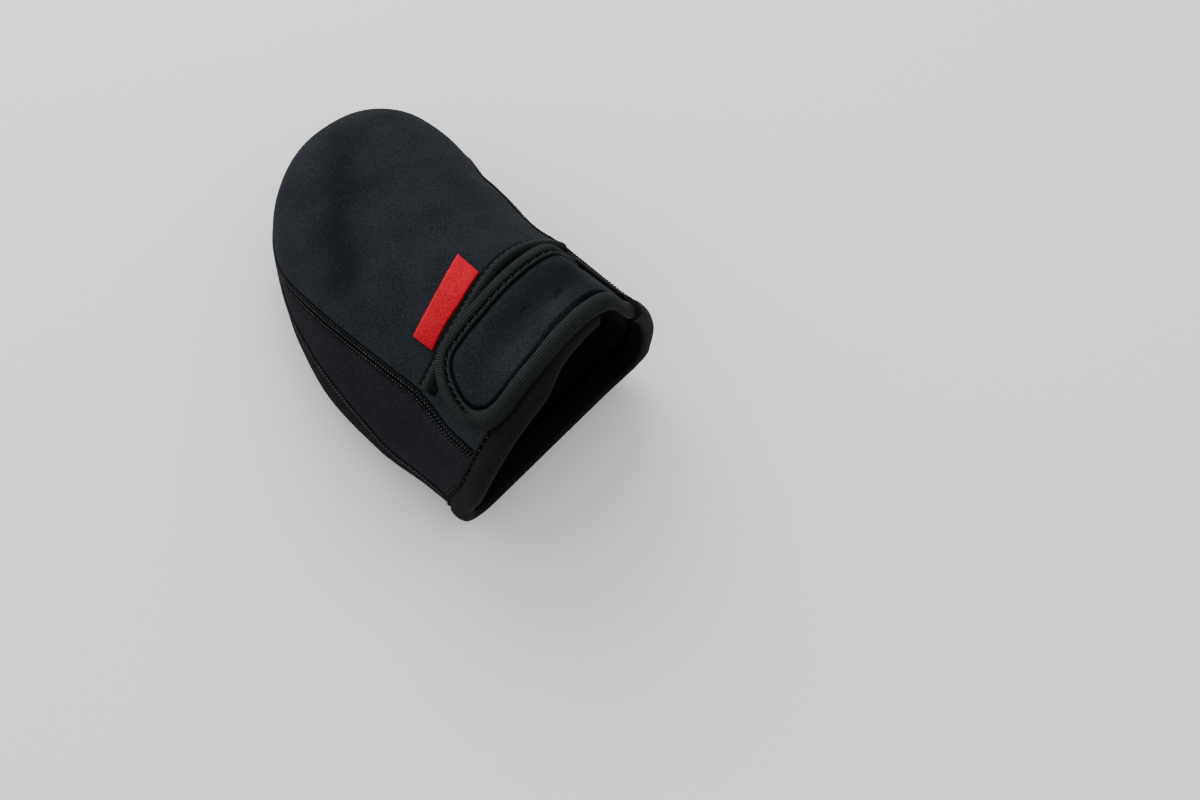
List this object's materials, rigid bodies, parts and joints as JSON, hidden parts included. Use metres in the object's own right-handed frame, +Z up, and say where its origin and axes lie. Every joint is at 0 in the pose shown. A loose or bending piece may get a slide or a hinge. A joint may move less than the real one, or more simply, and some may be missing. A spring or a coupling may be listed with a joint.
{
  "type": "cycling toe cover",
  "caption": "Hollow neoprene toe cover for a left cycling shoe: bound throat slit and collar, wrap-over instep strap with a rounded end, red cloth label and a cleat opening underneath.",
  "frame": {"origin": "centre of the bounding box, at the floor it rests on", "axes": "+Z up, +Y towards the toe, +X towards the inner side of the left foot"},
  "size_m": [0.1042, 0.1728, 0.0928],
  "materials": {
    "upper": "matt brushed neoprene, charcoal black",
    "sole": "matt black neoprene, abrasion-resistant face",
    "strap": "matt brushed neoprene, charcoal black",
    "strap_binding": "ribbed elastic tape, slight sheen",
    "throat_binding": "ribbed elastic tape, slight sheen",
    "collar_binding": "smooth elastic tape",
    "label": "woven red ribbon"
  },
  "bodies": {
    "root": {"upper": "upper", "sole": "sole", "strap": "strap", "strap_binding": "strap_binding", "throat_binding": "throat_binding", "collar_binding": "collar_binding", "label": "label"}
  },
  "joints": []
}
